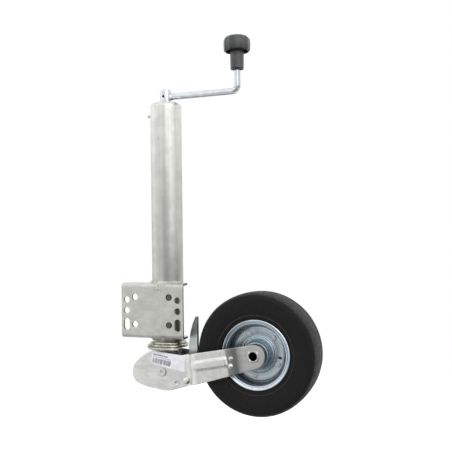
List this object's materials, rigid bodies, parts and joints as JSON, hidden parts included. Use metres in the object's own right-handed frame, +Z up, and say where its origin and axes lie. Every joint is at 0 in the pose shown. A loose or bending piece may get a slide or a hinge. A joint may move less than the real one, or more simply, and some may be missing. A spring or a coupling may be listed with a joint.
{
  "type": "trailer jockey wheel",
  "caption": "Cranked trailer jockey wheel on a flanged bolt-on bracket; the fork folds a solid-tyred wheel up to the side as the inner tube retracts.",
  "frame": {"origin": "middle of the bracket plate's front face, which lies against the drawbar", "axes": "+Z up along the tube, +X along the plate towards the folded wheel, +Y away from the drawbar"},
  "size_m": [0.378, 0.098, 0.6965],
  "materials": {
    "galvanised_steel": "matt zinc plating, faintly mottled",
    "bright_zinc": "bright zinc plating, drawn along the rod",
    "plain_steel": "zinc-plated turned steel",
    "bearing_steel": "ground bearing steel",
    "blue_zinc": "blue passivated zinc with faint pink and purple tints",
    "yellow_zinc": "spring steel with faded yellow passivation",
    "black_nylon": "matt moulded nylon",
    "white_nylon": "natural nylon",
    "bronze": "sintered bronze",
    "knob_plastic": "fine-grained moulded plastic",
    "tyre_rubber": "solid black rubber, tread slightly greyer",
    "label": "white adhesive label, blank"
  },
  "bodies": {
    "housing": {"bracket_plate": "galvanised_steel", "outer_tube": "galvanised_steel", "weld_beads": "galvanised_steel", "grease_nipple": "bright_zinc", "top_bush": "black_nylon", "upper_race": "bearing_steel", "lower_guide_bush": "black_nylon"},
    "crank": {"spindle": "bright_zinc", "thrust_collar": "plain_steel", "lower_race": "bearing_steel", "thrust_balls": "bearing_steel", "ball_cage": "bronze", "end_stop_washer": "plain_steel", "crank_arm": "bright_zinc", "head_pin": "bright_zinc", "knob_retainer": "plain_steel"},
    "knob": {"crank_knob": "knob_plastic", "knob_cap": "knob_plastic"},
    "slider": {"upper_guide_ring": "white_nylon"},
    "strut": {"inner_tube": "galvanised_steel", "spindle_nut": "bronze", "pivot_head": "plain_steel", "pivot_bush": "bronze", "pivot_washers": "white_nylon", "alignment_finger": "blue_zinc"},
    "spring": {"buffer_spring": "yellow_zinc"},
    "fork": {"fork_plate_near": "galvanised_steel", "fork_plate_far": "galvanised_steel", "pivot_pin": "plain_steel", "stop_pin": "plain_steel", "axle_tube": "plain_steel", "axle_spacers": "plain_steel", "blank_label": "label"},
    "wheel": {"tyre": "tyre_rubber", "rim_half_near": "blue_zinc", "rim_half_far": "blue_zinc", "rim_rivets": "blue_zinc", "hub_tube": "plain_steel", "hub_bushes": "black_nylon"}
  },
  "joints": [
    {"name": "spindle_turn", "type": "hinge", "parent": "housing", "child": "crank", "pos_m": [0.018, 0.0345, 0.4], "axis": [0, 0, -1], "range_deg": [0, 18000]},
    {"name": "knob_spin", "type": "hinge", "parent": "crank", "child": "knob", "pos_m": [0.165, 0.0345, 0.48], "axis": [0, 0, 1], "continuous": true},
    {"name": "tube_slide", "type": "slide", "parent": "housing", "child": "slider", "axis": [0, 0, -1], "range_m": [0, 0.2]},
    {"name": "strut_swivel", "type": "hinge", "parent": "slider", "child": "strut", "pos_m": [0.018, 0.0345, 0], "axis": [0, 0, 1], "range_deg": [0, 135]},
    {"name": "spring_rise", "type": "slide", "parent": "strut", "child": "spring", "axis": [0, 0, 1], "range_m": [0, 0.026]},
    {"name": "fork_fold", "type": "hinge", "parent": "strut", "child": "fork", "pos_m": [0.018, 0.0345, -0.114], "axis": [0, 1, 0], "range_deg": [0, 80]},
    {"name": "wheel_spin", "type": "hinge", "parent": "fork", "child": "wheel", "pos_m": [0.202, 0.0345, -0.0745], "axis": [0, 1, 0], "continuous": true}
  ],
  "couplings": [
    {"joint": "tube_slide", "follows": "spindle_turn", "m_per_rad": 0.00063662},
    {"joint": "spring_rise", "follows": "spindle_turn", "m_per_rad": 0.000082761},
    {"joint": "fork_fold", "follows": "spindle_turn", "ratio": 0.0044444}
  ]
}
